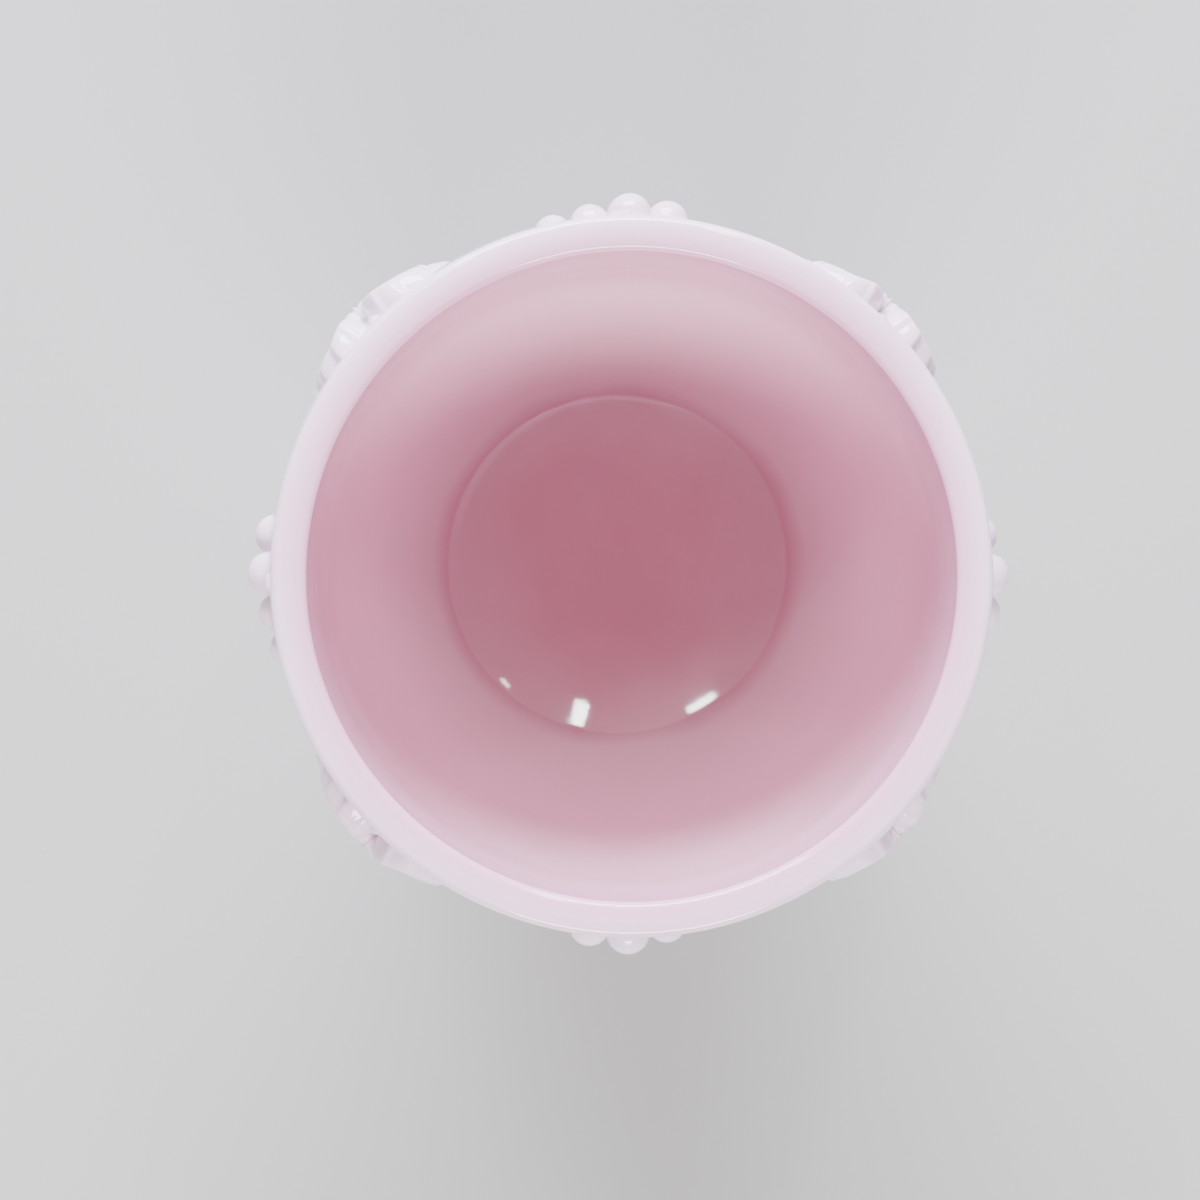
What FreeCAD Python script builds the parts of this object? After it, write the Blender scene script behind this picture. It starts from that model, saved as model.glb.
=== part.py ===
import FreeCAD, Part
import math
import os

import Sketcher
from FreeCAD import Placement, Rotation, Vector

# A footed posy vase pressed in opal glass: a round foot, a bowl with a plain thick rim, and a band of
# relief in which four grape bunches alternate with four vine leaves.
# Millimetres, +Z up, origin in the middle of the foot's underside. The whole vase is one casting, so
# each sub-part is a region of that casting, and the regions meet face to face.

SIZES = {
    "vase_height": 115.0,      # underside of the foot to the top of the lip
    "rim_radius": 50.0,        # outside of the plain rim
    "mouth_radius": 45.0,      # inside of the rim
    "lip_round": 1.2,          # rounding of both edges of the lip
    "shoulder_height": 103.0,  # where the rim starts
    "belly_radius": 50.8,      # widest part of the plain wall
    "belly_height": 92.0,
    "belly_bend": 100.0,       # radius of the belly's outline
    "turn_bend": 8.0,          # radius of the bowl's lower outer corner
    "waist_radius": 19.7,      # narrowest part, between the bowl and the foot
    "waist_height": 13.0,
    "waist_bend": 4.4,         # radius of the groove round the waist
    "foot_radius": 28.5,
    "foot_round": 3.4,         # rounding of the foot's upper edge
    "foot_bevel": 0.8,         # small bevel round the foot's lower edge
    "ring_radius": 24.0,       # inside of the ring that the vase stands on
    "recess_radius": 22.0,     # flat top of the recess under the foot
    "recess_depth": 2.5,
    "floor_height": 17.8,      # bottom of the hollow, in the middle of its dished floor
    "floor_bend": 80.0,        # radius of the dish, which meets the inner wall in a crease
    "throat_radius": 44.0,     # inner wall where its straight draft ends
    "throat_height": 88.0,
    "hollow_bend": 150.0,      # radius of the inner wall's outline below the throat
    "bead_radius": 3.1,
    "bead_pitch": 5.9,         # from bead to bead down a column
    "column_angle": 6.2,       # degrees from column to column
    "bunch_top": 96.0,         # middle of a bunch's highest bead
    "bead_relief": 3.1,        # how far the middle column stands proud of the wall
    "stalk_radius": 1.1,
    "stalk_relief": 0.55,      # how far a stalk stands proud of the wall
    "stalk_length": 6.2,
    "stalk_lean": 20.0,        # degrees that a bunch's stalk leans sideways
    "leaf_reach": 17.5,        # middle of a leaf to its lowest tip
    "leaf_height": 84.0,       # middle of a leaf above the foot's underside
    "leaf_edge_bend": 12.0,    # radius of the curved edges between a leaf's tips and notches
    "leaf_relief": 3.8,        # how far the middle of a leaf stands proud of the wall
    "leaf_lean": 4.6,          # degrees that a leaf leans in with the wall below it
    "leaf_dome_depth": 20.0,   # half axes of the ellipsoid that a leaf's face lies on
    "leaf_dome_width": 22.4,
    "leaf_dome_length": 28.3,
}

COPIES = 4              # bunches and leaves each repeat every quarter turn
LEAF_AZIMUTH = 46       # degrees from a bunch to the next leaf

# Columns of beads in a bunch, from one edge to the other: position, highest row, count of beads, and
# how far they stand proud, as a share of bead_relief.
BEAD_COLUMNS = ((-2, 3, 2, 0.42), (-1, 0, 5, 0.76), (0, 0, 6, 1.0), (1, 0, 5, 0.62), (2, 1, 3, 0.42))

# A leaf's tips and notches in turn: degrees from its right hand side, and share of leaf_reach.
LEAF_CORNERS = (
    (-90, 1.0), (-58, 0.66), (-24, 0.92), (6, 0.62), (40, 0.78), (90, 0.42),
    (140, 0.78), (174, 0.62), (204, 0.92), (238, 0.66),
)

# Radius of the plain wall at a height, as an expression: {0} stands for the height.
WALL_RADIUS = (
    "(Sizes.belly_radius - Sizes.belly_bend"
    " + sqrt(Sizes.belly_bend ^ 2 - ({0} - Sizes.belly_height) ^ 2))"
)

START, END, CENTRE = 1, 2, 3    # the points of a sketch edge
ORIGIN = (-1, 1)                # a sketch's own origin, as an edge and a point of it
VERTICAL_AXIS = -2              # a sketch's own vertical axis, as an edge


def make_sheet(doc):
    """Makes the spreadsheet that holds every driving dimension."""
    sheet = doc.addObject("Spreadsheet::Sheet", "Sizes")
    for row, (alias, value) in enumerate(SIZES.items(), start=1):
        sheet.set(f"A{row}", alias)
        sheet.set(f"B{row}", str(value))
        sheet.setAlias(f"B{row}", alias)
    doc.recompute()
    return sheet


def evaluate(sheet, expression):
    """Works out an expression with the sheet's present numbers."""
    return float(sheet.evalExpression(expression.replace("Sizes.", "")))


def arc_between(start, end, radius, side):
    """An arc between two points. It bulges to the right of the way between them if side is 1, and to the
    left if side is -1."""
    chord = end - start
    rightward = Vector(chord.y, -chord.x, 0).normalize() * side
    centre = (start + end) / 2 - rightward * math.sqrt(radius ** 2 - chord.Length ** 2 / 4)
    first, last = (start, end) if side == 1 else (end, start)
    angles = [math.atan2(point.y - centre.y, point.x - centre.x) for point in (first, last)]
    return Part.ArcOfCircle(Part.Circle(centre, Vector(0, 0, 1), radius), *angles)


def bind(sheet, sketch, expression, *constraint):
    """Adds a dimension to a sketch and binds it to an expression."""
    index = sketch.addConstraint(Sketcher.Constraint(*constraint, evaluate(sheet, expression)))
    sketch.setExpression(f"Constraints[{index}]", expression)


def draw_outline(sheet, body, role, corners, bends=(), smooth=(), free=(), centres=(), axial=()):
    """Draws a closed outline through corners, whose coordinates are expressions.

    bends maps an edge to the radius and side of its arc; other edges are straight. The edges join in
    a tangent at a corner in smooth. A corner in free isn't bound to its coordinates, which only say
    roughly where it is. centres maps an arc to the height of its centre, and an arc in axial has its
    centre on the vertical axis."""
    bends, centres = dict(bends), dict(centres)
    sketch = body.newObject("Sketcher::SketchObject", f"{body.Name}_outline")
    sketch.AttachmentSupport = [(next(p for p in body.Origin.OriginFeatures if p.Role == role), "")]
    sketch.MapMode = "FlatFace"
    points = [Vector(evaluate(sheet, across), evaluate(sheet, up), 0) for across, up in corners]
    count = len(points)
    for edge in range(count):
        start, end = points[edge], points[(edge + 1) % count]
        if edge in bends:
            radius, side = bends[edge]
            sketch.addGeometry(arc_between(start, end, evaluate(sheet, radius), side), False)
        else:
            sketch.addGeometry(Part.LineSegment(start, end), False)
    # An arc's own start is the end of it that comes first anticlockwise, so the ends are looked up.
    ends = [edge_ends(sketch, edge, points[edge]) for edge in range(count)]
    for corner, (across, up) in enumerate(corners):
        before = (corner - 1) % count
        joint = (before, ends[before][1], corner, ends[corner][0])
        sketch.addConstraint(Sketcher.Constraint("Tangent" if corner in smooth else "Coincident", *joint))
    for corner, (across, up) in enumerate(corners):
        if corner not in free:
            point = (corner, ends[corner][0])
            bind(sheet, sketch, across, "DistanceX", *ORIGIN, *point)
            bind(sheet, sketch, up, "DistanceY", *ORIGIN, *point)
    for edge, (radius, side) in bends.items():
        bind(sheet, sketch, radius, "Radius", edge)
    for edge, up in centres.items():
        bind(sheet, sketch, up, "DistanceY", *ORIGIN, edge, CENTRE)
    for edge in axial:
        sketch.addConstraint(Sketcher.Constraint("PointOnObject", edge, CENTRE, VERTICAL_AXIS))
    return sketch


def edge_ends(sketch, edge, start):
    """The point numbers of a sketch edge's two ends, from the end at start to the other."""
    if (sketch.Geometry[edge].StartPoint - start).Length < 1e-6:
        return START, END
    return END, START


def make_revolved(doc, sheet, name, corners, **shape):
    """A body turned about Z from an outline of radii and heights."""
    body = doc.addObject("PartDesign::Body", name)
    sketch = draw_outline(sheet, body, "XZ_Plane", corners, **shape)
    turn = body.newObject("PartDesign::Revolution", f"{name}_turn")
    turn.Profile = sketch
    turn.ReferenceAxis = (sketch, ["V_Axis"])
    turn.Angle = 360
    body.Tip = turn
    return body


def make_wall(doc, sheet):
    """The bowl's outer shape, solid all through: groove, lower corner, straight flank and belly."""
    corners = (
        ("0", "Sizes.waist_height"),
        ("Sizes.waist_radius", "Sizes.waist_height"),
        ("Sizes.waist_radius + Sizes.waist_bend", "Sizes.waist_height + Sizes.waist_bend"),
        ("Sizes.foot_radius", "Sizes.waist_height + Sizes.waist_bend + Sizes.turn_bend / 2"),
        (WALL_RADIUS.format("(Sizes.belly_height / 2)"), "Sizes.belly_height / 2"),
        (WALL_RADIUS.format("Sizes.shoulder_height"), "Sizes.shoulder_height"),
        ("0", "Sizes.shoulder_height"),
    )
    bends = {1: ("Sizes.waist_bend", -1), 2: ("Sizes.turn_bend", 1), 4: ("Sizes.belly_bend", 1)}
    return make_revolved(
        doc, sheet, "wall_blank", corners,
        bends=bends, smooth=(2, 3, 4), free=(3, 4), centres={4: "Sizes.belly_height"},
    )


def make_hollow(doc, sheet):
    """The space inside, up past the mouth: dished floor, curved wall, draft and lip."""
    corners = (
        ("0", "Sizes.floor_height"),
        ("Sizes.recess_radius", "Sizes.floor_height + Sizes.recess_depth"),
        ("Sizes.throat_radius", "Sizes.throat_height"),
        ("Sizes.mouth_radius", "Sizes.vase_height - Sizes.lip_round"),
        ("Sizes.mouth_radius + Sizes.lip_round", "Sizes.vase_height"),
        ("Sizes.mouth_radius + Sizes.lip_round", "Sizes.vase_height + Sizes.lip_round"),
        ("0", "Sizes.vase_height + Sizes.lip_round"),
    )
    bends = {
        0: ("Sizes.floor_bend", 1),
        1: ("Sizes.hollow_bend", 1),
        3: ("Sizes.lip_round", -1),
    }
    return make_revolved(
        doc, sheet, "hollow_blank", corners, bends=bends, smooth=(2,), free=(1,), axial=(0,),
    )


def make_rim(doc, sheet):
    """The rim's outer shape, solid all through."""
    corners = (
        ("0", "Sizes.shoulder_height"),
        ("Sizes.rim_radius", "Sizes.shoulder_height"),
        ("Sizes.rim_radius", "Sizes.vase_height - Sizes.lip_round"),
        ("Sizes.rim_radius - Sizes.lip_round", "Sizes.vase_height"),
        ("0", "Sizes.vase_height"),
    )
    return make_revolved(doc, sheet, "rim_blank", corners, bends={2: ("Sizes.lip_round", 1)})


def make_foot(doc, sheet):
    """The foot: a shallow recess inside a standing ring, a rounded edge and half of the waist."""
    foot_top = "Sizes.waist_height - Sizes.waist_bend"
    corners = (
        ("0", "Sizes.recess_depth"),
        ("Sizes.recess_radius", "Sizes.recess_depth"),
        ("Sizes.ring_radius", "0"),
        ("Sizes.foot_radius - Sizes.foot_bevel", "0"),
        ("Sizes.foot_radius", "Sizes.foot_bevel"),
        ("Sizes.foot_radius", f"{foot_top} - Sizes.foot_round"),
        ("Sizes.foot_radius - Sizes.foot_round", foot_top),
        ("Sizes.waist_radius + Sizes.waist_bend", foot_top),
        ("Sizes.waist_radius", "Sizes.waist_height"),
        ("0", "Sizes.waist_height"),
    )
    bends = {5: ("Sizes.foot_round", 1), 7: ("Sizes.waist_bend", -1)}
    return make_revolved(doc, sheet, "foot", corners, bends=bends)


def place(shape, across, along, up):
    """Binds where a primitive sits to expressions, in the vase's own axes."""
    shape.setExpression(".Placement.Base.x", across)
    shape.setExpression(".Placement.Base.y", along)
    shape.setExpression(".Placement.Base.z", up)


def join(doc, kind, name, **links):
    """Makes a boolean of two or more shapes."""
    result = doc.addObject(kind, name)
    for role, link in links.items():
        setattr(result, role, link)
    return result


def make_beads(doc):
    """A bunch of beads in staggered columns on the +X side, each about half sunk in the wall.

    A bead's poles point in and out, so that they lie clear of the beads above and below it."""
    beads = []
    for column, first_row, count, share in BEAD_COLUMNS:
        for row in range(first_row, first_row + count):
            bead = doc.addObject("Part::Sphere", f"bead_{column + 2}_{row}")
            bead.Placement = Placement(Vector(), Rotation(Vector(0, 1, 0), 90))
            bead.setExpression("Radius", "Sizes.bead_radius")
            height = f"(Sizes.bunch_top - Sizes.bead_pitch * {row + column % 2 / 2})"
            reach = f"({WALL_RADIUS.format(height)} + Sizes.bead_relief * {share} - Sizes.bead_radius)"
            turn = f"({column} * Sizes.column_angle * 1 deg)"
            place(bead, f"{reach} * cos{turn}", f"{reach} * sin{turn}", height)
            beads.append(bead)
    return join(doc, "Part::MultiFuse", "bead_blank", Shapes=beads)


def make_stalk(doc):
    """The short leaning rod that a bunch hangs from, on the +X side."""
    stalk = doc.addObject("Part::Cylinder", "stalk_blank")
    stalk.Placement = Placement(Vector(), Rotation(Vector(1, 0, 0), -1))
    stalk.setExpression(".Placement.Rotation.Angle", "Sizes.stalk_lean * 1 deg")
    stalk.setExpression("Radius", "Sizes.stalk_radius")
    stalk.setExpression("Height", "Sizes.stalk_length")
    wall = WALL_RADIUS.format("(Sizes.bunch_top + Sizes.stalk_length / 2)")
    place(stalk, f"{wall} + Sizes.stalk_relief - Sizes.stalk_radius", "0", "Sizes.bunch_top")
    return stalk


def make_leaf(doc, sheet):
    """A vine leaf on the +X side: its lobed outline cut from a gently domed face."""
    body = doc.addObject("PartDesign::Body", "leaf_outline")
    corners = []
    for degrees, share in LEAF_CORNERS:
        angle = math.radians(degrees)
        corners.append((
            f"Sizes.leaf_reach * {share * math.cos(angle):.4f}",
            f"Sizes.leaf_height + Sizes.leaf_reach * {share * math.sin(angle):.4f}",
        ))
    bends = {edge: ("Sizes.leaf_edge_bend", 1) for edge in range(len(corners))}
    sketch = draw_outline(sheet, body, "YZ_Plane", corners, bends=bends)
    pad = body.newObject("PartDesign::Pad", "leaf_pad")
    pad.Profile = sketch
    pad.setExpression("Length", "Sizes.belly_radius + 2 * Sizes.leaf_relief")
    body.Tip = pad

    dome = doc.addObject("Part::Ellipsoid", "leaf_dome")
    dome.Placement = Placement(Vector(), Rotation(Vector(0, 1, 0), 1))
    dome.setExpression(".Placement.Rotation.Angle", "Sizes.leaf_lean * 1 deg")
    dome.setExpression("Radius1", "Sizes.leaf_dome_length")
    dome.setExpression("Radius2", "Sizes.leaf_dome_depth")
    dome.setExpression("Radius3", "Sizes.leaf_dome_width")
    wall = WALL_RADIUS.format("Sizes.leaf_height")
    place(dome, f"{wall} + Sizes.leaf_relief - Sizes.leaf_dome_depth", "0", "Sizes.leaf_height")
    return join(doc, "Part::MultiCommon", "leaf_blank", Shapes=[body, dome])


def make_relief(doc, name, blank, backings, azimuth):
    """Copies of a raised motif round the vase, each cut off where its backings begin."""
    copies = []
    for number in range(COPIES):
        copy = blank
        for backing in backings:
            copy = join(doc, "Part::Cut", f"{name}_{number + 1}_on_{backing.Name}", Base=copy, Tool=backing)
        copy.Label = f"{name}_{number + 1}"
        copy.Placement = Placement(Vector(), Rotation(Vector(0, 0, 1), azimuth + number * 360 / COPIES))
        copies.append(copy)
    return copies


def check(doc, parts):
    """Stops if any object failed or any sub-part isn't sound. A bunch may be a group of separate
    solids, because its outer beads stand apart on the wall."""
    for thing in doc.Objects:
        if {"Invalid", "Error"} & set(thing.State):
            raise RuntimeError(f"{thing.Name} failed: {thing.State}")
    for part in parts:
        if part.Shape.isNull() or not part.Shape.isValid() or not part.Shape.Solids:
            raise RuntimeError(f"{part.Label} isn't a valid solid")


def main():
    doc = FreeCAD.newDocument("vase")
    sheet = make_sheet(doc)
    wall = make_wall(doc, sheet)
    hollow = make_hollow(doc, sheet)
    beads = make_beads(doc)

    bowl = join(doc, "Part::Cut", "bowl", Base=wall, Tool=hollow)
    rim = join(doc, "Part::Cut", "rim_band", Base=make_rim(doc, sheet), Tool=hollow)
    parts = [make_foot(doc, sheet), bowl, rim]
    parts += make_relief(doc, "grape_bunch", beads, [wall], 0)
    parts += make_relief(doc, "bunch_stalk", make_stalk(doc), [wall, beads], 0)
    parts += make_relief(doc, "vine_leaf", make_leaf(doc, sheet), [wall], LEAF_AZIMUTH)

    doc.recompute()
    check(doc, parts)
    os.makedirs("parts", exist_ok=True)
    for part in parts:
        part.Shape.exportStep(f"parts/{part.Label}.step")


main()
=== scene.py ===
import math

import bpy
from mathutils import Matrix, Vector, kdtree


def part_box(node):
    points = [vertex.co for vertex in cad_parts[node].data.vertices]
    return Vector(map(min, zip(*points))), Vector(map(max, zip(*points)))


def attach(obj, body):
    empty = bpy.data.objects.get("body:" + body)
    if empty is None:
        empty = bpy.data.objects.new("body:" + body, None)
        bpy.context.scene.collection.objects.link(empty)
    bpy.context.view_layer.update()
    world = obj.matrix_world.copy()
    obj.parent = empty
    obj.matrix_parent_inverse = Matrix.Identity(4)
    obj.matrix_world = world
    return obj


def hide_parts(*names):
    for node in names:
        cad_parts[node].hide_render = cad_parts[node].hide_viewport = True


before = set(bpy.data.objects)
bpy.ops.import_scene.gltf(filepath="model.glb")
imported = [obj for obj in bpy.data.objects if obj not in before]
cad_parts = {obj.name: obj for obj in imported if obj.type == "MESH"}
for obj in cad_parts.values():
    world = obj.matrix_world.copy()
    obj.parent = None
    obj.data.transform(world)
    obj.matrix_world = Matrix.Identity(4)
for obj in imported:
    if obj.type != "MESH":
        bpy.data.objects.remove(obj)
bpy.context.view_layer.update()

# A footed posy vase in pressed opal glass. Metres, in the frame of the CAD model: +Z up the vase's axis,
# origin in the middle of the foot's underside. Every piece stands for one CAD node of the single casting.

MM = 0.001

# --- Sizes of the vase: the frame gives the outer ones, and the rest repeat the design. ----------------

FOOT_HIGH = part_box("foot")[1]
BOWL_LOW, BOWL_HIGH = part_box("bowl")
RIM_LOW, RIM_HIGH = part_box("rim_band")

VASE_HEIGHT = RIM_HIGH.z
RIM_RADIUS = RIM_HIGH.x
SHOULDER_HEIGHT = RIM_LOW.z
BELLY_RADIUS = BOWL_HIGH.x
WAIST_HEIGHT = BOWL_LOW.z
FOOT_RADIUS = FOOT_HIGH.x

BELLY_HEIGHT = 92 * MM
BELLY_BEND = 100 * MM       # radius of the belly's curve in section
TURN_BEND = 8 * MM          # between the waist's groove and the flank
WAIST_RADIUS = 19.7 * MM
WAIST_BEND = 4.4 * MM
SHOULDER_ROUND = 0.5 * MM   # the belly's upper edge, one side of the fine groove below the rim
RIM_FOOT_ROUND = 0.35 * MM  # the rim's lower edge, the groove's other side
FOOT_ROUND = 3.4 * MM
FOOT_EDGE = 0.8 * MM
RING_RADIUS = 24 * MM       # inside of the ring that the vase stands on
RING_ROUND = 1.2 * MM
RECESS_DEPTH = 2.5 * MM     # of the foot's underside
MOUTH_RADIUS = 45 * MM
LIP_ROUND = 1.2 * MM
LIP_CROWN = 0.15 * MM       # how much the lip rises between its edges
THROAT_RADIUS = 44 * MM
THROAT_HEIGHT = 88 * MM
HOLLOW_SLOPE = (MOUTH_RADIUS - THROAT_RADIUS) / (VASE_HEIGHT - LIP_ROUND - THROAT_HEIGHT)
HOLLOW_BEND = 150 * MM      # radius of the curve below the straight upper part
FLOOR_HEIGHT = 17.8 * MM    # the middle of the dished floor
FLOOR_BEND = 80 * MM
FLOOR_ROUND = 0.9 * MM      # the crease round the floor

COPIES = 4                  # bunches and leaves each repeat every quarter turn
LEAF_AZIMUTH = 46           # degrees from a bunch to the next leaf

BEAD_RADIUS = 3.05 * MM
BEAD_PITCH = 5.9 * MM       # from row to row
BEAD_COLUMN_ANGLE = 6.2     # degrees from column to column
BEAD_RELIEF = 3.02 * MM     # how far the middle column stands proud of the wall
BEAD_DRAFT = 74             # degrees: the steepest that a bead's side gets
BUNCH_TOP = 96 * MM         # middle of a bunch's highest bead
BEAD_BLEND = 0.35 * MM      # how softly beads run into each other and into the wall
BEAD_COLUMNS = (            # place, first row, count of beads, share of BEAD_RELIEF
    (-2, 3, 2, 0.42), (-1, 0, 5, 0.76), (0, 0, 6, 1.0), (1, 0, 5, 0.62), (2, 1, 3, 0.42),
)

LEAF_HEIGHT = 84 * MM       # a leaf's middle
LEAF_REACH = 17.5 * MM      # from its middle to its lowest tip
LEAF_RELIEF = 3.8 * MM      # beside the midrib
LEAF_TIPS = ((-90, 1.0), (-20, 0.95), (200, 0.95), (44, 0.84), (136, 0.84))     # degrees, share of reach
LEAF_NOTCHES = ((-54, 0.64), (234, 0.64), (10, 0.62), (170, 0.62), (90, 0.34))

SKIRT = 1.5 * MM            # how deep a relief piece's hidden sides go into the wall
EMBED = 0.01 * MM           # how far its border lies under the wall's face


# --- Outlines of the turned pieces ---------------------------------------------------------------------

def arc(centre, radius, first, last, step=5.0):
    """Points of an arc in the (radius, height) plane, from one angle to another in degrees."""
    count = max(3, round(abs(last - first) / step) + 1)
    points = []
    for i in range(count):
        angle = math.radians(first + (last - first) * i / (count - 1))
        points.append((centre[0] + radius * math.cos(angle), centre[1] + radius * math.sin(angle)))
    return points


def straight(start, end, pieces):
    """Points between two ends, without the ends."""
    return [
        (start[0] + (end[0] - start[0]) * i / pieces, start[1] + (end[1] - start[1]) * i / pieces)
        for i in range(1, pieces)
    ]


def flank_angle():
    """Direction, in degrees, in which the straight flank of the bowl faces."""
    across = WAIST_RADIUS + WAIST_BEND - (BELLY_RADIUS - BELLY_BEND)
    up = WAIST_HEIGHT + WAIST_BEND + TURN_BEND - BELLY_HEIGHT
    spread = math.acos((BELLY_BEND - TURN_BEND) / math.hypot(across, up))
    return math.degrees(math.atan2(up, across) + spread)


def outer_wall():
    """The bowl's outside, from the waist up to the ledge under the rim."""
    groove = (WAIST_RADIUS + WAIST_BEND, WAIST_HEIGHT)
    turn = (groove[0], groove[1] + WAIST_BEND + TURN_BEND)
    belly = (BELLY_RADIUS - BELLY_BEND, BELLY_HEIGHT)
    flank = flank_angle()
    top = math.degrees(math.asin((SHOULDER_HEIGHT - SHOULDER_ROUND - BELLY_HEIGHT) / BELLY_BEND))
    lower = arc(groove, WAIST_BEND, 180, 90) + arc(turn, TURN_BEND, -90, flank)[1:]
    side = arc(belly, BELLY_BEND, flank, top, step=1.0)
    edge = (side[-1][0] - SHOULDER_ROUND, SHOULDER_HEIGHT - SHOULDER_ROUND)
    return lower + straight(lower[-1], side[0], 12) + side + arc(edge, SHOULDER_ROUND, top, 90, 12)[1:]


def hollow_radius(height):
    """Radius of the straight upper part of the hollow at a height."""
    return THROAT_RADIUS + HOLLOW_SLOPE * (height - THROAT_HEIGHT)


def circles_meet(first, first_radius, second, second_radius):
    """The point where two circles cross, to the left of the way from the first centre to the second."""
    gap = (second[0] - first[0], second[1] - first[1])
    apart = math.hypot(*gap)
    along = (first_radius ** 2 - second_radius ** 2 + apart ** 2) / (2 * apart)
    aside = math.sqrt(first_radius ** 2 - along ** 2)
    return (
        first[0] + (gap[0] * along - gap[1] * aside) / apart,
        first[1] + (gap[1] * along + gap[0] * aside) / apart,
    )


def direction_between(start, end):
    """Direction from one point to another, in degrees."""
    return math.degrees(math.atan2(end[1] - start[1], end[0] - start[0]))


def inner_wall():
    """The hollow below the rim, from the shoulder's height down to the middle of its dished floor."""
    draft = math.atan(HOLLOW_SLOPE)
    bend = (THROAT_RADIUS - HOLLOW_BEND * math.cos(draft), THROAT_HEIGHT + HOLLOW_BEND * math.sin(draft))
    dish = (0.0, FLOOR_HEIGHT + FLOOR_BEND)
    crease = circles_meet(dish, FLOOR_BEND - FLOOR_ROUND, bend, HOLLOW_BEND - FLOOR_ROUND)
    wall_end = direction_between(bend, crease)
    dish_end = direction_between(dish, crease)
    start = (hollow_radius(SHOULDER_HEIGHT), SHOULDER_HEIGHT)
    curve = arc(bend, HOLLOW_BEND, -math.degrees(draft), wall_end, step=0.8)
    floor = arc(crease, FLOOR_ROUND, wall_end, dish_end)[1:]
    floor += arc(dish, FLOOR_BEND, dish_end, -90, step=1.2)[1:]
    return [start] + straight(start, curve[0], 8) + curve + floor


def rim_outline():
    """The rim's section: hidden underside, lower edge, outside, lip and inside."""
    inside_low = (hollow_radius(SHOULDER_HEIGHT), SHOULDER_HEIGHT)
    low_edge = (RIM_RADIUS - RIM_FOOT_ROUND, SHOULDER_HEIGHT + RIM_FOOT_ROUND)
    lip = VASE_HEIGHT - LIP_CROWN
    outer_edge = (RIM_RADIUS - LIP_ROUND, lip - LIP_ROUND)
    inner_edge = (MOUTH_RADIUS + LIP_ROUND, lip - LIP_ROUND)
    outside = arc(low_edge, RIM_FOOT_ROUND, 270, 360, 15)
    outside += straight(outside[-1], (RIM_RADIUS, outer_edge[1]), 8)
    outside += arc(outer_edge, LIP_ROUND, 0, 78, 6)
    inside = arc(inner_edge, LIP_ROUND, 102, 180, 6)
    crown = []
    for across, _ in straight(outside[-1], inside[0], 8):
        share = (across - inside[0][0]) / (outside[-1][0] - inside[0][0])
        crown.append((across, outside[-1][1] + LIP_CROWN * math.sin(math.pi * share)))
    return [inside_low] + outside + crown + inside + straight(inside[-1], inside_low, 8)


def foot_outline():
    """The foot's section: recess, standing ring, rounded edge and the lower half of the waist."""
    groove = (WAIST_RADIUS + WAIST_BEND, WAIST_HEIGHT)
    top = WAIST_HEIGHT - WAIST_BEND
    ring = (RING_RADIUS + RING_ROUND / 2, RING_ROUND)
    edge = (FOOT_RADIUS - FOOT_EDGE, FOOT_EDGE)
    upper = (FOOT_RADIUS - FOOT_ROUND, top - FOOT_ROUND)
    recess = [(0.0, RECESS_DEPTH), (RING_RADIUS - RECESS_DEPTH, RECESS_DEPTH)]
    recess = [recess[0]] + straight(*recess, 8) + [recess[1]]
    return (
        recess
        + arc(ring, RING_ROUND, 215, 270, 8)
        + arc(edge, FOOT_EDGE, 270, 360, 12)
        + arc(upper, FOOT_ROUND, 0, 90)
        + arc(groove, WAIST_BEND, 270, 180)
        + [(0.0, WAIST_HEIGHT)]
    )


# --- Mesh building -------------------------------------------------------------------------------------

def make_piece(name, node, verts, faces, material, sharp=()):
    """A smooth-shaded mesh that stands for a CAD node. sharp holds the edges where its shading breaks."""
    mesh = bpy.data.meshes.new(name)
    mesh.from_pydata(verts, [], faces)
    mesh.update()
    mesh.polygons.foreach_set("use_smooth", [True] * len(mesh.polygons))
    if sharp:
        keys = {tuple(sorted(edge)) for edge in sharp}
        flags = [tuple(sorted(edge.vertices)) in keys for edge in mesh.edges]
        mesh.attributes.new("sharp_edge", "BOOLEAN", "EDGE").data.foreach_set("value", flags)
    mesh.materials.append(material)
    piece = bpy.data.objects.new(name, mesh)
    bpy.context.scene.collection.objects.link(piece)
    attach(piece, "root")
    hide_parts(node)
    return piece


SEAM_OFFSETS = (-0.9, -0.55, -0.32, -0.16, 0.0, 0.16, 0.32, 0.55, 0.9)   # degrees from a seam's ridge
SEAM_WIDTH = 0.22            # degrees from the ridge to where it has mostly died away
SEAM_RELIEF = 0.10 * MM


def turning_angles(step=1.25):
    """Directions, in degrees, of the turned pieces' columns: even, and closer together at each seam."""
    seams = [LEAF_AZIMUTH + 360 / COPIES * number for number in range(COPIES)]
    angles = [seam + offset for seam in seams for offset in SEAM_OFFSETS]
    for i in range(round(360 / step)):
        gap = min(abs((i * step - seam + 180) % 360 - 180) for seam in seams)
        if gap > step:
            angles.append(i * step)
    return sorted(angles)


def seam_relief(angle):
    """How far the mould seams stand out in a direction."""
    offset = (angle - LEAF_AZIMUTH + 180 / COPIES) % (360 / COPIES) - 180 / COPIES
    return SEAM_RELIEF * math.exp(-(offset / SEAM_WIDTH) ** 2)


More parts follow.
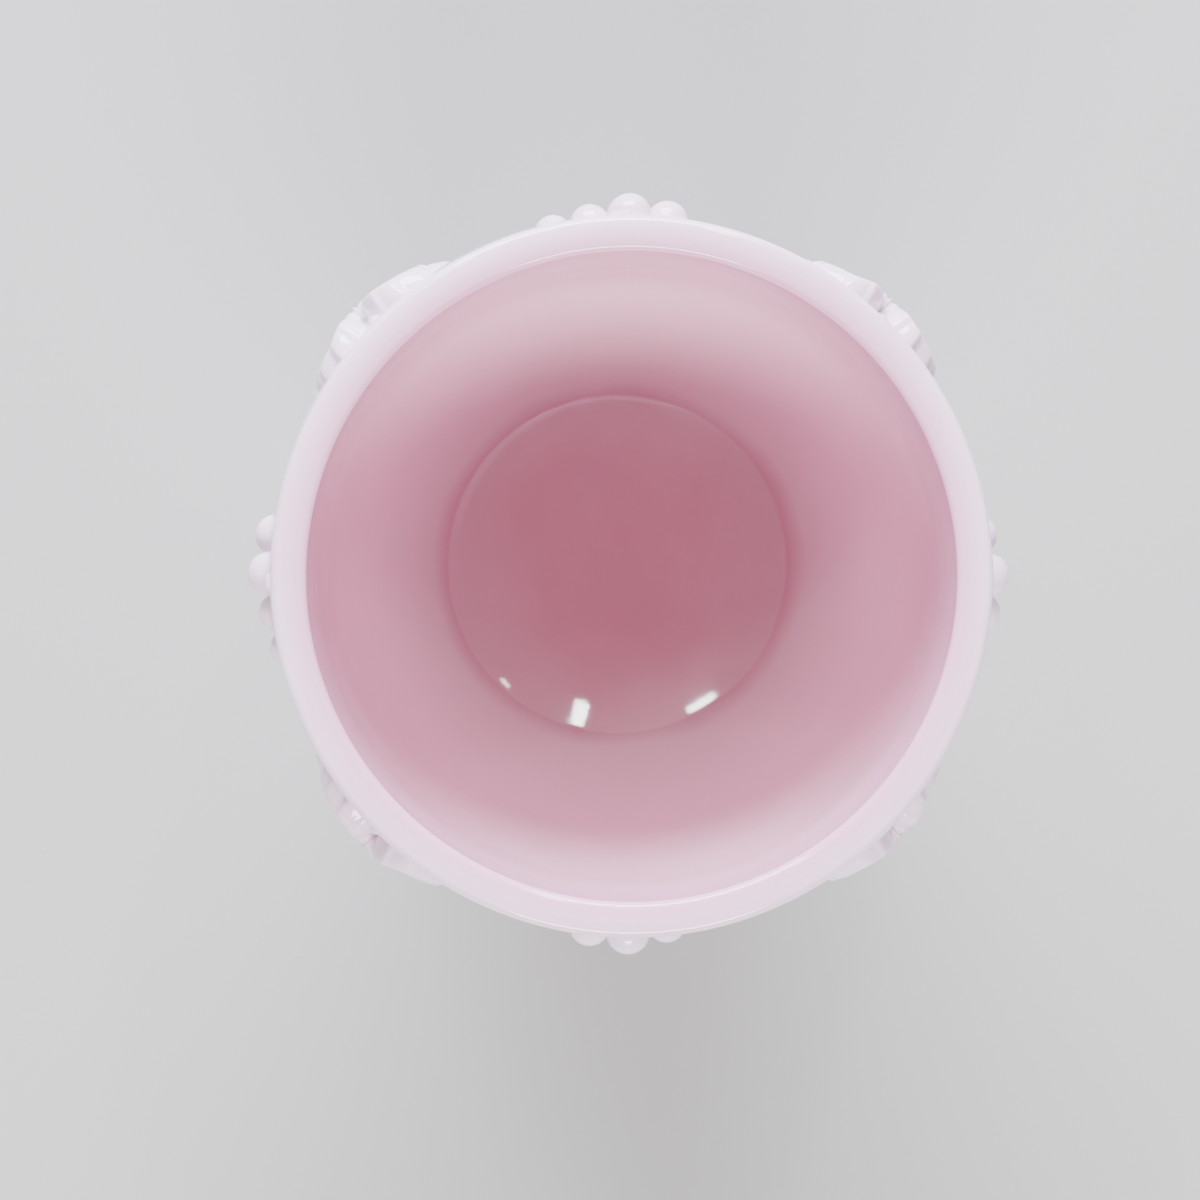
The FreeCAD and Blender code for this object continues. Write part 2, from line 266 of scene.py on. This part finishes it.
def turn(outline, seams=0):
    """Vertices and faces of a closed outline turned about Z. The first seams points carry mould seams.
    A point on the axis becomes one vertex."""
    angles = turning_angles()
    verts, rings = [], []
    for number, (across, up) in enumerate(outline):
        if across < 1e-9:
            rings.append([len(verts)])
            verts.append((0.0, 0.0, up))
            continue
        rings.append(list(range(len(verts), len(verts) + len(angles))))
        for angle in angles:
            reach = across + (seam_relief(angle) if number < seams else 0.0)
            direction = math.radians(angle)
            verts.append((reach * math.cos(direction), reach * math.sin(direction), up))
    pairs = list(zip(rings, rings[1:]))
    if len(rings[0]) > 1:
        pairs.append((rings[-1], rings[0]))
    faces = []
    for lower, upper in pairs:
        for i in range(len(angles)):
            j = (i + 1) % len(angles)
            if len(lower) == 1:
                faces.append((lower[0], upper[j], upper[i]))
            elif len(upper) == 1:
                faces.append((lower[i], lower[j], upper[0]))
            else:
                faces.append((lower[i], lower[j], upper[j], upper[i]))
    return verts, faces, rings


def ring_edges(ring):
    """The edges round one ring of a turned piece."""
    return [(ring[i], ring[(i + 1) % len(ring)]) for i in range(len(ring))]


# --- Relief on the wall --------------------------------------------------------------------------------

def wall_bearing(height):
    """Angle, in radians, up the belly's arc at a height."""
    return math.asin((height - BELLY_HEIGHT) / BELLY_BEND)


def wall_radius(height):
    """Radius of the plain belly at a height."""
    return BELLY_RADIUS - BELLY_BEND + BELLY_BEND * math.cos(wall_bearing(height))


def on_wall(azimuth, height, across, along, proud):
    """The point that lies across and along the wall from a spot on it, and proud of it."""
    bearing = wall_bearing(height) + along / BELLY_BEND
    level = BELLY_RADIUS - BELLY_BEND + BELLY_BEND * math.cos(bearing)
    reach = level + proud * math.cos(bearing)
    direction = math.radians(azimuth) + across / level
    return (
        reach * math.cos(direction),
        reach * math.sin(direction),
        BELLY_HEIGHT + (BELLY_BEND + proud) * math.sin(bearing),
    )


def soft_max(first, second, blend):
    """The larger of two heights, rounded off where they are within blend of each other."""
    return max(first, second) + max(blend - abs(first - second), 0.0) ** 2 / (4 * blend)


def dome(middle, directions, fractions, height):
    """Rows of a relief patch: a middle point and rings out to each direction's reach.

    directions holds (angle in radians, reach), and height gives how proud the surface is at a point.
    The border dips just under the wall, and hidden sides and a bottom close the patch."""
    verts = [(*middle, height(*middle))]
    faces = []
    count = len(directions)
    for fraction in fractions:
        for angle, reach in directions:
            across = middle[0] + reach * fraction * math.cos(angle)
            along = middle[1] + reach * fraction * math.sin(angle)
            verts.append((across, along, height(across, along)))
    border = [len(verts) - count + i for i in range(count)]
    for i in border:
        across, along, proud = verts[i]
        verts[i] = (across, along, proud - EMBED)
        verts.append((across, along, -SKIRT))
    verts.append((*middle, -SKIRT))
    bottom = len(verts) - 1
    for i in range(count):
        j = (i + 1) % count
        faces.append((0, 1 + i, 1 + j))
        faces.append((bottom, bottom - count + j, bottom - count + i))
    for row in range(len(fractions)):
        low = 1 + row * count
        for i in range(count):
            j = (i + 1) % count
            faces.append((low + i, low + count + i, low + count + j, low + j))
    border_edges = [(border[i], border[(i + 1) % count]) for i in range(count)]
    return verts, faces, border_edges


def relief_piece(name, node, patches, azimuth, height, material):
    """A piece made of closed patches laid on the wall."""
    verts, faces, sharp = [], [], []
    for patch_verts, patch_faces, patch_sharp in patches:
        start = len(verts)
        verts += [on_wall(azimuth, height, *vert) for vert in patch_verts]
        faces += [tuple(start + i for i in face) for face in patch_faces]
        sharp += [(start + i, start + j) for i, j in patch_sharp]
    return make_piece(name, node, verts, faces, material, sharp)


# --- Grape bunches -------------------------------------------------------------------------------------

def bunch_beads():
    """Every bead of a bunch: across and along from the bunch's top, radius, and how proud it stands."""
    beads = []
    for column, first_row, count, share in BEAD_COLUMNS:
        for row in range(first_row, first_row + count):
            up = BUNCH_TOP - BEAD_PITCH * (row + column % 2 / 2)
            across = math.radians(column * BEAD_COLUMN_ANGLE) * wall_radius(up)
            along = (wall_bearing(up) - wall_bearing(BUNCH_TOP)) * BELLY_BEND
            uneven = math.sin(2.4 * len(beads) + 0.7)
            radius = BEAD_RADIUS * (1 - 0.03 * abs(column) - 0.03 * (1 + uneven))
            proud = BEAD_RELIEF * share - 0.05 * MM * (1 + uneven)
            beads.append((across + 0.12 * MM * uneven, along, radius, proud))
    return beads


def bead_profile(distance, radius, proud):
    """How proud of the wall a bead is at a distance from its middle: a ball whose sides become straight
    where they reach the draft angle."""
    steep = radius * math.sin(math.radians(BEAD_DRAFT))
    if distance < steep:
        return math.sqrt(radius ** 2 - distance ** 2) - radius + proud
    drop = (distance - steep) * math.tan(math.radians(BEAD_DRAFT))
    return radius * math.cos(math.radians(BEAD_DRAFT)) - radius + proud - drop


def bunch_height(beads):
    """The surface of a whole bunch, as a function of the place on the wall."""
    def height(across, along):
        level = 0.0
        for bead_across, bead_along, radius, proud in beads:
            distance = math.hypot(across - bead_across, along - bead_along)
            if distance < radius + BEAD_BLEND * 2:
                level = soft_max(level, bead_profile(distance, radius, proud), BEAD_BLEND)
        return level
    return height


def bead_reach(bead, others, angle):
    """How far a bead's patch runs in a direction: to the line midway to a neighbour, or past its foot."""
    across, along, radius, proud = bead
    foot = radius ** 2 - (radius - proud) ** 2
    reach = math.sqrt(foot) + BEAD_BLEND
    for other_across, other_along, other_radius, other_proud in others:
        gap = (other_across - across, other_along - along)
        facing = gap[0] * math.cos(angle) + gap[1] * math.sin(angle)
        if facing > 0:
            other_foot = other_radius ** 2 - (other_radius - other_proud) ** 2
            share = (gap[0] ** 2 + gap[1] ** 2 + foot - other_foot) / 2
            reach = min(reach, share / facing + EMBED)
    return reach


def bunch_patches():
    """A patch for each bead of a bunch."""
    beads = bunch_beads()
    height = bunch_height(beads)
    rays = 40
    rings = 14
    fractions = [math.sin(math.pi / 2 * i / rings) for i in range(1, rings + 1)]
    patches = []
    for bead in beads:
        others = [other for other in beads if other is not bead]
        turns = [2 * math.pi * i / rays for i in range(rays)]
        directions = [(angle, bead_reach(bead, others, angle)) for angle in turns]
        patches.append(dome(bead[:2], directions, fractions, height))
    return patches


# --- Vine leaves ---------------------------------------------------------------------------------------

LEAF_EDGE = 1.8 * MM        # how far in from its outline a leaf's steep edge reaches
LEAF_PILLOW = 3.5 * MM      # how far in from its outline a leaf goes on rising
LEAF_PILLOW_SHARE = 0.14    # how much of its relief that is
LEAF_BLEND = 0.4 * MM
LEAF_SIDE_SLOPE = 0.155     # how much the face falls per length across and down, away from the midrib
LEAF_DOWN_SLOPE = 0.085
LEAF_FOLD = (2.8 * MM, 6.2 * MM, 0.55 * MM)     # where a step down on one side starts, ends, and its depth
TOOTH_COUNT = 3             # teeth along each side of a lobe
TOOTH_SHARE = 0.035         # length of a tooth, as a share of LEAF_REACH
TOOTH_PEAK = 0.3            # share of the way along a tooth where it is longest
STALK_NOTCH = 90            # direction of the notch that the leaf's stalk lies in
VEIN_BASE = 0.30            # where the main veins meet, above the leaf's middle, as a share of LEAF_REACH
SIDE_VEINS = ((0.30, 1), (0.36, -1), (0.52, 1), (0.58, -1), (0.74, 1), (0.78, -1))  # place and side
SIDE_VEIN_TURN = 40         # degrees between a main vein and its side veins
VEIN_VALLEY = 0.55 * MM     # depth and half width of the valley along a main vein
VEIN_VALLEY_WIDTH = 1.5 * MM
VEIN_RIB = 0.48 * MM        # height and half width of the fine rib in the valley
VEIN_RIB_WIDTH = 0.28 * MM


def leaf_corners():
    """The leaf's tips and notches in order round the leaf, as (degrees, share of reach, is a tip)."""
    tips = [(angle % 360, share, True) for angle, share in LEAF_TIPS]
    notches = [(angle % 360, share, False) for angle, share in LEAF_NOTCHES]
    return sorted(tips + notches)


def leaf_reach(degrees):
    """Distance from the leaf's middle to its toothed outline in a direction."""
    corners = leaf_corners()
    degrees %= 360
    before = max((c for c in corners if c[0] <= degrees), default=corners[-1])
    after = min((c for c in corners if c[0] > degrees), default=corners[0])
    span = (after[0] - before[0]) % 360
    share = ((degrees - before[0]) % 360) / span
    tip, notch, from_tip = (before, after, share) if before[2] else (after, before, 1 - share)
    if notch[0] == STALK_NOTCH:
        drop = 0.25 * from_tip + 0.75 * from_tip ** 6
    else:
        drop = 0.6 * from_tip ** 0.8 + 0.4 * from_tip ** 4
    along_tooth = (from_tip * TOOTH_COUNT) % 1.0
    tooth = TOOTH_SHARE * min(along_tooth / TOOTH_PEAK, (1 - along_tooth) / (1 - TOOTH_PEAK))
    return LEAF_REACH * (tip[1] - (tip[1] - notch[1]) * drop + tooth)


def distance_to_line(point, start, end):
    """Distance from a point to the stretch between two others, and the share of the way along it."""
    way = (end[0] - start[0], end[1] - start[1])
    size = way[0] ** 2 + way[1] ** 2
    share = ((point[0] - start[0]) * way[0] + (point[1] - start[1]) * way[1]) / size
    share = min(max(share, 0.0), 1.0)
    gap = (point[0] - start[0] - share * way[0], point[1] - start[1] - share * way[1])
    return math.hypot(*gap), share


def leaf_veins():
    """The main veins, from the leaf's stalk to each tip, and the side veins that branch off them, as
    (start, end, strength)."""
    base = (0.0, LEAF_REACH * VEIN_BASE)
    veins = []
    for degrees, share in LEAF_TIPS:
        angle = math.radians(degrees)
        tip = (LEAF_REACH * share * math.cos(angle) * 0.95, LEAF_REACH * share * math.sin(angle) * 0.95)
        veins.append((base, tip, 1.0 if degrees == -90 else 0.9))
        way = math.atan2(tip[1] - base[1], tip[0] - base[0])
        length = math.hypot(tip[0] - base[0], tip[1] - base[1])
        for along, side in SIDE_VEINS:
            root = (base[0] + (tip[0] - base[0]) * along, base[1] + (tip[1] - base[1]) * along)
            turn_to = way + side * math.radians(SIDE_VEIN_TURN)
            reach = length * 0.30 * (1.15 - along)
            end = (root[0] + reach * math.cos(turn_to), root[1] + reach * math.sin(turn_to))
            veins.append((root, end, 0.45))
    return veins


def leaf_outline(rays):
    """Points round the leaf's outline."""
    points = []
    for i in range(rays):
        reach = leaf_reach(360 * i / rays)
        angle = math.radians(360 * i / rays)
        points.append((reach * math.cos(angle), reach * math.sin(angle)))
    return points


def outline_distance(outline):
    """A function that gives the distance from a point to the outline."""
    tree = kdtree.KDTree(len(outline))
    for number, (across, along) in enumerate(outline):
        tree.insert((across, along, 0.0), number)
    tree.balance()

    def distance(point):
        number = tree.find((*point, 0.0))[1]
        before, here, after = (outline[(number + step) % len(outline)] for step in (-1, 0, 1))
        return min(distance_to_line(point, before, here)[0], distance_to_line(point, here, after)[0])
    return distance


def leaf_face(across, along):
    """How proud the leaf would be without its edge and veins: highest beside the midrib in its upper
    half, falling away to both sides and to the tip, with a step down on one side."""
    start, end, depth = LEAF_FOLD
    fold = min(max((across - start) / (end - start), 0.0), 1.0)
    fold = depth * fold * fold * (3 - 2 * fold)
    return LEAF_RELIEF - LEAF_SIDE_SLOPE * abs(across) - LEAF_DOWN_SLOPE * max(-along, 0.0) - fold


def leaf_height(outline):
    """The leaf's surface, as a function of the place on the wall."""
    veins = leaf_veins()
    distance = outline_distance(outline)

    def height(across, along):
        inside = math.hypot(across, along) < leaf_reach(math.degrees(math.atan2(along, across)))
        depth = distance((across, along)) if inside else 0.0
        pillow = math.sin(math.pi / 2 * min(depth / LEAF_PILLOW, 1.0))
        face = leaf_face(across, along) * (1 - LEAF_PILLOW_SHARE * (1 - pillow))
        rib = 0.0
        valley = 0.0
        for start, end, strength in veins:
            gap, share = distance_to_line((across, along), start, end)
            fade = strength * (1 - 0.6 * share)
            valley = max(valley, fade * math.exp(-(gap / (VEIN_VALLEY_WIDTH * math.sqrt(strength))) ** 2))
            rib = max(rib, fade * strength * math.exp(-(gap / VEIN_RIB_WIDTH) ** 2))
        face += VEIN_RIB * rib - VEIN_VALLEY * valley
        edge = math.sin(math.pi / 2 * min(depth / LEAF_EDGE, 1.0)) ** 0.8
        return soft_max(face * edge, 0.0, LEAF_BLEND * edge + EMBED) if inside else 0.0
    return height


def leaf_patches():
    """The patch of a vine leaf and the patch of its short stalk."""
    rays = 300
    rings = 60
    outline = leaf_outline(rays)
    directions = [(2 * math.pi * i / rays, leaf_reach(360 * i / rays) + EMBED) for i in range(rays)]
    fractions = [1 - (1 - i / rings) ** 1.6 for i in range(1, rings + 1)]
    blade = dome((0.0, 0.0), directions, fractions, leaf_height(outline))
    return [blade, rod_patch(*LEAF_STALK, STALK_WIDTH, STALK_RELIEF)]


# --- Stalks --------------------------------------------------------------------------------------------

STALK_WIDTH = 1.0 * MM
STALK_RELIEF = 0.7 * MM
STALK_WIDENING = 0.35       # how much wider a stalk is at its end than at its start
STALK_PATCH = 1.4           # half width of a stalk's patch, as a share of the stalk's own
BUNCH_STALK = ((0.0, 2.2 * MM), (1.9 * MM, 5.4 * MM))    # its ends, from the bunch's highest bead
LEAF_STALK = ((0.0, 4.8 * MM), (-0.8 * MM, 13.5 * MM))   # its ends, from the leaf's middle


def rod_height(start, end, width, relief):
    """The surface of a raised rod with round ends, as a function of the place on the wall."""
    def height(across, along):
        gap, share = distance_to_line((across, along), start, end)
        here = width * (1.0 + STALK_WIDENING * share)
        return relief * math.cos(math.pi / 2 * min(gap / here, 1.0)) ** 1.3
    return height


def rod_patch(start, end, width, relief):
    """The patch of a straight raised rod, a little wider at its end."""
    middle = ((start[0] + end[0]) / 2, (start[1] + end[1]) / 2)
    way = (end[0] - start[0], end[1] - start[1])
    rays, rings = 64, 12
    widest = width * STALK_PATCH
    directions = []
    for i in range(rays):
        angle = 2 * math.pi * i / rays
        along = abs(way[0] * math.cos(angle) + way[1] * math.sin(angle)) / math.hypot(*way)
        cross = math.sqrt(max(1 - along ** 2, 0.0))
        directions.append((angle, min(widest / max(cross, 0.01), math.hypot(*way) / 2 * along + widest)))
    fractions = [i / rings for i in range(1, rings + 1)]
    return dome(middle, directions, fractions, rod_height(start, end, width, relief))


# --- Material ------------------------------------------------------------------------------------------

class Nodes:
    """Short ways to add and link the nodes of one material."""

    def __init__(self, name):
        self.material = bpy.data.materials.new(name)
        self.material.use_nodes = True
        self.tree = self.material.node_tree
        self.shader = self.tree.nodes["Principled BSDF"]
        self.place = self.tree.nodes.new("ShaderNodeTexCoord").outputs["Object"]

    def add(self, kind, **settings):
        """A node with some of its settings changed."""
        node = self.tree.nodes.new(kind)
        for key, value in settings.items():
            setattr(node, key, value)
        return node

    def feed(self, socket, value):
        """Links an output to a socket, or sets the socket to a plain value."""
        if isinstance(value, bpy.types.NodeSocket):
            self.tree.links.new(value, socket)
        else:
            socket.default_value = value

    def math(self, operation, *values, clamp=False):
        node = self.add("ShaderNodeMath", operation=operation, use_clamp=clamp)
        for socket, value in zip(node.inputs, values):
            self.feed(socket, value)
        return node.outputs[0]

    def noise(self, size, detail=2.0):
        """Noise from 0 to 1 whose features are about size metres across."""
        node = self.add("ShaderNodeTexNoise")
        self.feed(node.inputs["Vector"], self.place)
        self.feed(node.inputs["Scale"], 1 / size)
        self.feed(node.inputs["Detail"], detail)
        return node.outputs["Fac"]

    def mix(self, share, first, second):
        """A mix of two colours."""
        node = self.add("ShaderNodeMix", data_type="RGBA")
        self.feed(node.inputs["Factor"], share)
        for socket, colour in ((node.inputs[6], first), (node.inputs[7], second)):
            self.feed(socket, colour if isinstance(colour, bpy.types.NodeSocket) else (*colour, 1.0))
        return node.outputs[2]

    def between(self, value, low, high, to_low=0.0, to_high=1.0):
        """A value brought from one range to another and clamped."""
        node = self.add("ShaderNodeMapRange")
        for socket, number in zip(node.inputs, (value, low, high, to_low, to_high)):
            self.feed(socket, number)
        return node.outputs[0]

    def ramp(self, value, stops):
        """A colour looked up along a row of (place, colour) stops."""
        node = self.add("ShaderNodeValToRGB")
        while len(node.color_ramp.elements) < len(stops):
            node.color_ramp.elements.new(0.5)
        for element, (place, colour) in zip(node.color_ramp.elements, stops):
            element.position = place
            element.color = (*colour, 1.0)
        self.feed(node.inputs["Fac"], value)
        return node.outputs["Color"]

    def bump(self, *layers):
        """Bumps laid over each other, each (height, depth in metres)."""
        normal = None
        for height, depth in layers:
            node = self.add("ShaderNodeBump")
            self.feed(node.inputs["Height"], height)
            self.feed(node.inputs["Distance"], depth)
            if normal:
                self.feed(node.inputs["Normal"], normal)
            normal = node.outputs["Normal"]
        self.feed(self.shader.inputs["Normal"], normal)


WHITE = (0.84, 0.62, 0.76)
COOL_WHITE = (0.87, 0.69, 0.86)
# Painted shade and painted reddish light in the hollow: darkest and rosiest at its floor, lightest about
# two thirds of the way up, a little darker again under the lip.
HOLLOW_PAINTED_SHADE = (          # share of the way up from the floor of the hollow to the lip
    (0.00, (0.48, 0.23, 0.28)),
    (0.045, (0.54, 0.31, 0.36)),
    (0.09, (0.66, 0.46, 0.52)),
    (0.18, (0.74, 0.51, 0.59)),
    (0.32, (0.85, 0.56, 0.67)),
    (0.60, (0.93, 0.58, 0.71)),
    (1.00, (0.78, 0.42, 0.60)),
)
RELIEF_PAINTED_SHADE = (0.84, 0.46, 0.60)      # painted shade: the hollow drawn darker and rosier behind the thicker relief, where less light comes through
RELIEF_PAINTED_SHADE_SHARE = 0.55


def opal_glass(name, hollow=False):
    """Pale opal glass, fire-polished, with the faint ripples and clouds of pressed glass. With hollow set,
    the faces of its hollow get painted shade and painted reddish light: rose and darker, most of all at
    its floor."""
    nodes = Nodes(name)
    clouds = nodes.between(nodes.noise(22 * MM), 0.35, 0.65)
    colour = nodes.mix(clouds, WHITE, COOL_WHITE)
    # Painted shade and painted reddish light on the faces of the hollow.
    if hollow:
        colour = nodes.mix(hollow_shade_mask(nodes), colour, hollow_shade_colour(nodes))
    nodes.feed(nodes.shader.inputs["Base Color"], colour)
    nodes.feed(nodes.shader.inputs["Roughness"], nodes.between(nodes.noise(9 * MM), 0.3, 0.7, 0.05, 0.09))
    nodes.shader.inputs["IOR"].default_value = 1.5
    nodes.shader.inputs["Subsurface Weight"].default_value = 0.15
    nodes.shader.inputs["Subsurface Radius"].default_value = (1.0, 0.5, 0.6)
    nodes.shader.inputs["Subsurface Scale"].default_value = 6 * MM
    nodes.bump((nodes.noise(14 * MM, 1.0), 0.10 * MM), (nodes.noise(1.6 * MM), 0.004 * MM))
    return nodes.material


def hollow_shade_mask(nodes):
    """Where the hollow's painted shade goes: 1 on the faces of the hollow and 0 elsewhere, from the mesh.
    """
    return nodes.add("ShaderNodeAttribute", attribute_name="inside").outputs["Fac"]


def hollow_shade_colour(nodes):
    """Painted shade and painted reddish light in the hollow, by height: darker and rosier towards its
    floor, lightest about two thirds of the way up and a little darker under the lip. It is also darker and
    rosier behind each of the eight raised motifs, where the thicker glass lets less light through.
    """
    spot = nodes.add("ShaderNodeSeparateXYZ")
    nodes.feed(spot.inputs[0], nodes.place)
    across, along, up = spot.outputs
    rise = nodes.between(up, FLOOR_HEIGHT, VASE_HEIGHT)
    blotch = nodes.between(nodes.noise(18 * MM), 0.3, 0.7, -0.012, 0.012)
    colour = nodes.ramp(nodes.math("ADD", rise, blotch), HOLLOW_PAINTED_SHADE)
    # Painted shade behind the motifs: strongest at each motif's bearing and within the leaves' height.
    turned = nodes.math("MULTIPLY", nodes.math("ARCTAN2", along, across), 2.0 * COPIES)
    motif = nodes.between(nodes.math("COSINE", turned), -0.6, 1.0)
    above = nodes.between(up, LEAF_HEIGHT - LEAF_REACH, LEAF_HEIGHT)
    below = nodes.between(up, LEAF_HEIGHT + LEAF_REACH, LEAF_HEIGHT)
    window = nodes.math("MULTIPLY", above, below)
    share = nodes.math("MULTIPLY", nodes.math("MULTIPLY", motif, window), RELIEF_PAINTED_SHADE_SHARE)
    return nodes.mix(share, colour, RELIEF_PAINTED_SHADE)


# --- The vase ------------------------------------------------------------------------------------------

def mark_hollow_shade(piece, rings):
    """Marks the vertices of some rings, each with a share, as faces of the hollow, which get its painted
    shade.
    """
    values = [0.0] * len(piece.data.vertices)
    for ring, share in rings:
        for vertex in ring:
            values[vertex] = share
    piece.data.attributes.new("inside", "FLOAT", "POINT").data.foreach_set("value", values)


def make_bowl(material):
    outside = outer_wall()
    inside = inner_wall()
    verts, faces, rings = turn([(0.0, WAIST_HEIGHT)] + outside + inside, seams=len(outside))
    joins = (1, len(outside), len(outside) + 1)
    sharp = [edge for ring in joins for edge in ring_edges(rings[ring])]
    bowl = make_piece("bowl_glass", "bowl", verts, faces, material, sharp)
    # The hollow's faces take the painted shade and painted reddish light.
    mark_hollow_shade(bowl, [(ring, 1.0) for ring in rings[len(outside) + 1:]])


def make_rim(material):
    outline = rim_outline()
    verts, faces, rings = turn(outline)
    sharp = ring_edges(rings[0]) + ring_edges(rings[1])
    rim = make_piece("rim_glass", "rim_band", verts, faces, material, sharp)
    # The lip's top takes part of the hollow's painted shade and reddish light, fading out toward the rim's
    # outside.
    mark_hollow_shade(rim, [
        (ring, min(1.3 * (RIM_RADIUS - across) / (RIM_RADIUS - MOUTH_RADIUS), 1.0))
        for ring, (across, _) in zip(rings, outline)
    ])


def make_foot(material):
    outline = foot_outline()
    verts, faces, rings = turn(outline)
    make_piece("foot_glass", "foot", verts, faces, material, ring_edges(rings[-2]))


def make_relief(material):
    bunch, leaf = bunch_patches(), leaf_patches()
    stalk = [rod_patch(*BUNCH_STALK, STALK_WIDTH, STALK_RELIEF)]
    for number in range(1, COPIES + 1):
        azimuth = (number - 1) * 360 / COPIES
        relief_piece(f"grapes_{number}", f"grape_bunch_{number}", bunch, azimuth, BUNCH_TOP, material)
        relief_piece(f"stalk_{number}", f"bunch_stalk_{number}", stalk, azimuth, BUNCH_TOP, material)
        leaf_turn = azimuth + LEAF_AZIMUTH
        relief_piece(f"leaf_{number}", f"vine_leaf_{number}", leaf, leaf_turn, LEAF_HEIGHT, material)


# --- Stage, lights and camera --------------------------------------------------------------------------

def make_floor():
    """A wide pale floor that the vase stands on."""
    half = 2.0
    mesh = bpy.data.meshes.new("floor")
    corners = [(-half, -half, 0.0), (half, -half, 0.0), (half, half, 0.0), (-half, half, 0.0)]
    mesh.from_pydata(corners, [], [(0, 1, 2, 3)])
    floor = bpy.data.objects.new("floor", mesh)
    bpy.context.scene.collection.objects.link(floor)
    material = bpy.data.materials.new("floor_paper")
    material.use_nodes = True
    shader = material.node_tree.nodes["Principled BSDF"]
    shader.inputs["Base Color"].default_value = (0.40, 0.39, 0.39, 1.0)
    shader.inputs["Roughness"].default_value = 0.9
    mesh.materials.append(material)


def make_light(name, bearing, tilt, distance, size, power, target, colour=(1.0, 1.0, 1.0)):
    """An area light in a direction from the target: degrees round from +X and down from +Z."""
    data = bpy.data.lights.new(name, "AREA")
    data.shape = "RECTANGLE"
    data.size, data.size_y = size
    data.energy = power
    data.color = colour
    light = bpy.data.objects.new(name, data)
    bpy.context.scene.collection.objects.link(light)
    around, down = math.radians(bearing), math.radians(tilt)
    way = Vector((math.sin(down) * math.cos(around), math.sin(down) * math.sin(around), math.cos(down)))
    light.location = target + way * distance
    light.visible_camera = False
    light.rotation_mode = "QUATERNION"
    light.rotation_quaternion = way.to_track_quat("Z", "Y")


def make_lights():
    """A wide cool light low on the +Y side, three small bright windows there, and a fill opposite."""
    middle = Vector((0.0, 0.0, VASE_HEIGHT / 2))
    make_light("softbox", 95, 65, 1.6, (1.4, 0.7), 140, middle, (0.86, 0.92, 1.0))
    make_light("window_near", 73, 33, 1.2, (0.06, 0.14), 2.6, middle)
    make_light("window_far", 120, 34, 1.2, (0.14, 0.06), 2.4, middle)
    make_light("window_side", 44, 37, 1.3, (0.05, 0.03), 0.25, middle)
    make_light("fill", 272, 48, 1.7, (0.9, 0.5), 55, middle)
    world = bpy.data.worlds.new("studio")
    world.use_nodes = True
    world.node_tree.nodes["Background"].inputs["Color"].default_value = (0.93, 0.90, 0.93, 1.0)
    world.node_tree.nodes["Background"].inputs["Strength"].default_value = 0.60
    bpy.context.scene.world = world


def make_camera():
    """Looks down into the mouth through a long lens. The vase's axis leans a little in the view, and
    its rim lies a little right of the view's middle and above it."""
    data = bpy.data.cameras.new("camera")
    data.lens = 189
    data.sensor_width = 36
    camera = bpy.data.objects.new("camera", data)
    bpy.context.scene.collection.objects.link(camera)
    camera.rotation_euler = (math.radians(-1.45), math.radians(-1.14), 0.0)
    rim_in_view = Vector((4.45, 3.15, -870)) * MM
    rim = Vector((0.0, 0.0, VASE_HEIGHT))
    camera.location = rim - camera.rotation_euler.to_matrix() @ rim_in_view
    bpy.context.scene.camera = camera


outer_glass = opal_glass("opal_glass")
shaded_hollow_glass = opal_glass("opal_glass_hollow_painted_shade", hollow=True)
make_bowl(shaded_hollow_glass)
make_rim(shaded_hollow_glass)
make_foot(outer_glass)
make_relief(outer_glass)
make_floor()
make_lights()
make_camera()
